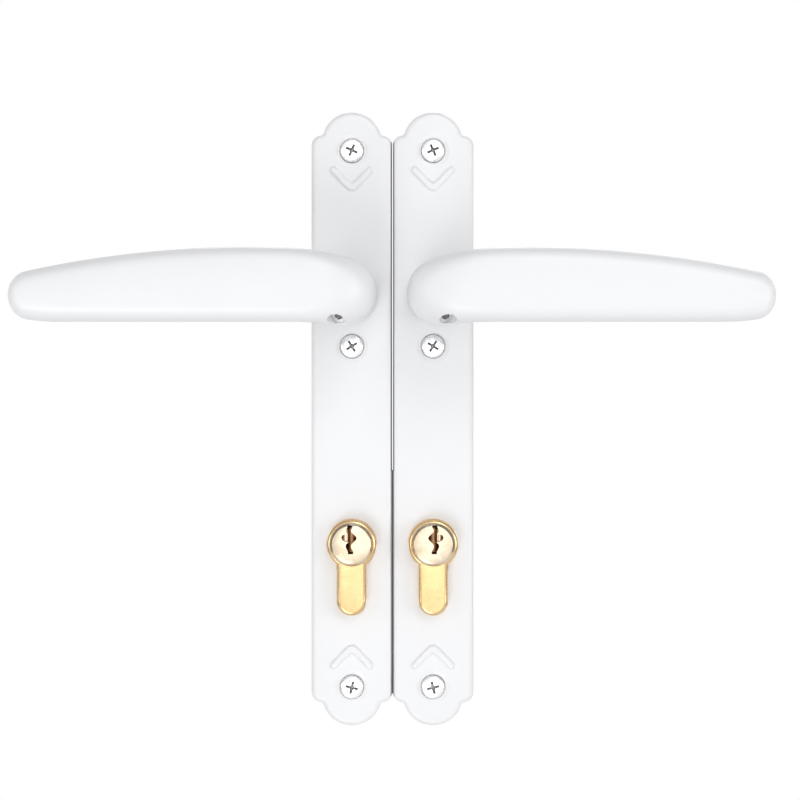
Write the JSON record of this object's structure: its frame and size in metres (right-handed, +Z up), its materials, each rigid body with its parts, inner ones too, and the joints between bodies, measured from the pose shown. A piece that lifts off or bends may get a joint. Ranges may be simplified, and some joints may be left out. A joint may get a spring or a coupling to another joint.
{
  "type": "lever handle lock",
  "caption": "Handed pair of white sprung lever handles on long narrow backplates, with brass euro-profile half cylinders and cross-head screws.",
  "frame": {"origin": "on the door face, on the seam between the two plates, at the height of the spindles", "axes": "+X to the right seen from the room, +Y into the door, +Z up"},
  "size_m": [0.248, 0.096, 0.212],
  "materials": {
    "white_coat": "satin powder coat, white",
    "bright_screw": "bright nickel plate",
    "brass_body": "satin brass",
    "brass_plug": "pale turned brass",
    "cam_steel": "sintered steel",
    "zinc_steel": "zinc-plated steel",
    "spring_steel": "oiled spring steel",
    "dark_steel": "blackened steel",
    "nylon": "natural nylon"
  },
  "bodies": {
    "root": {"backplate_right": "white_coat", "backplate_left": "white_coat", "neck_bush_right": "nylon", "neck_bush_left": "nylon", "plate_screws_right": "bright_screw", "plate_screws_left": "bright_screw", "cylinder_body_right": "brass_body", "cylinder_body_left": "brass_body", "return_spring_right": "spring_steel", "return_spring_left": "spring_steel"},
    "lever_right": {"lever_right": "white_coat", "grub_screw_right": "dark_steel", "spindle_right": "zinc_steel", "stop_washer_right": "zinc_steel", "neck_circlip_right": "spring_steel"},
    "plug_right": {"cylinder_plug_right": "brass_plug", "cylinder_cam_right": "cam_steel"},
    "lever_left": {"lever_left": "white_coat", "grub_screw_left": "dark_steel", "spindle_left": "zinc_steel", "stop_washer_left": "zinc_steel", "neck_circlip_left": "spring_steel"},
    "plug_left": {"cylinder_plug_left": "brass_plug", "cylinder_cam_left": "cam_steel"}
  },
  "joints": [
    {"name": "lever_turn_right", "type": "hinge", "parent": "root", "child": "lever_right", "pos_m": [0.014, 0, 0], "axis": [0, 1, 0], "range_deg": [0, 45], "stiffness_Nm_per_rad": 1, "springref_deg": -22.92, "deforming": ["return_spring_right"]},
    {"name": "plug_turn_right", "type": "hinge", "parent": "root", "child": "plug_right", "pos_m": [0.014, 0, -0.085], "axis": [0, 1, 0], "continuous": true},
    {"name": "lever_turn_left", "type": "hinge", "parent": "root", "child": "lever_left", "pos_m": [-0.014, 0, 0], "axis": [0, -1, 0], "range_deg": [0, 45], "stiffness_Nm_per_rad": 1, "springref_deg": -22.92, "deforming": ["return_spring_left"]},
    {"name": "plug_turn_left", "type": "hinge", "parent": "root", "child": "plug_left", "pos_m": [-0.014, 0, -0.085], "axis": [0, -1, 0], "continuous": true}
  ]
}
